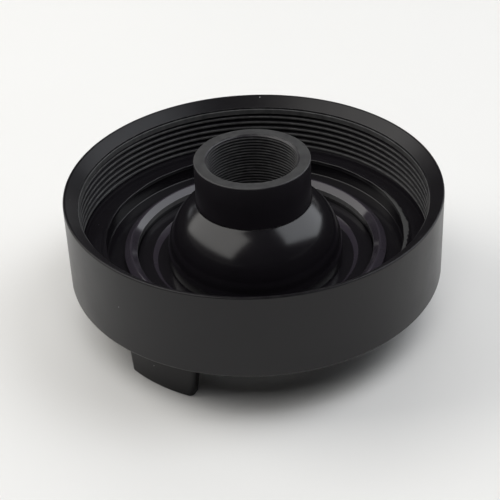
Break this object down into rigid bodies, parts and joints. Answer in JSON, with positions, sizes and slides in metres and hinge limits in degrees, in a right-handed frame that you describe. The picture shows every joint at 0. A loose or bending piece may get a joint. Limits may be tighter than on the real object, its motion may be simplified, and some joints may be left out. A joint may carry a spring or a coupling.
{
  "type": "oil filter cap wrench adapter",
  "caption": "Round black filter-housing cap with an internally threaded rim, stepped glossy floor with seal rings, a domed centre with a threaded neck, and drive lugs underneath.",
  "frame": {"origin": "on the cap's axis, in the plane that the drive lugs stand on", "axes": "+Z along the cap's axis, out of the open side; the drive lugs lie at -Y and +Y"},
  "size_m": [0.17, 0.17, 0.08],
  "materials": {
    "satin_black": "satin",
    "thread_black": "satin",
    "gloss_black": "gloss",
    "pan_black": "semi-gloss",
    "neck_black": "satin",
    "gasket_rubber": "semi-gloss",
    "seal_gloss": "gloss"
  },
  "bodies": {
    "root": {"outer_skirt": "satin_black", "thread_ring": "thread_black", "sealing_gasket": "gasket_rubber", "floor_pan": "pan_black", "inner_seal_ring": "seal_gloss", "centre_dome": "gloss_black", "neck_bush": "neck_black", "base_plate": "satin_black", "drive_lug_front": "satin_black", "drive_lug_rear": "satin_black"}
  },
  "joints": []
}
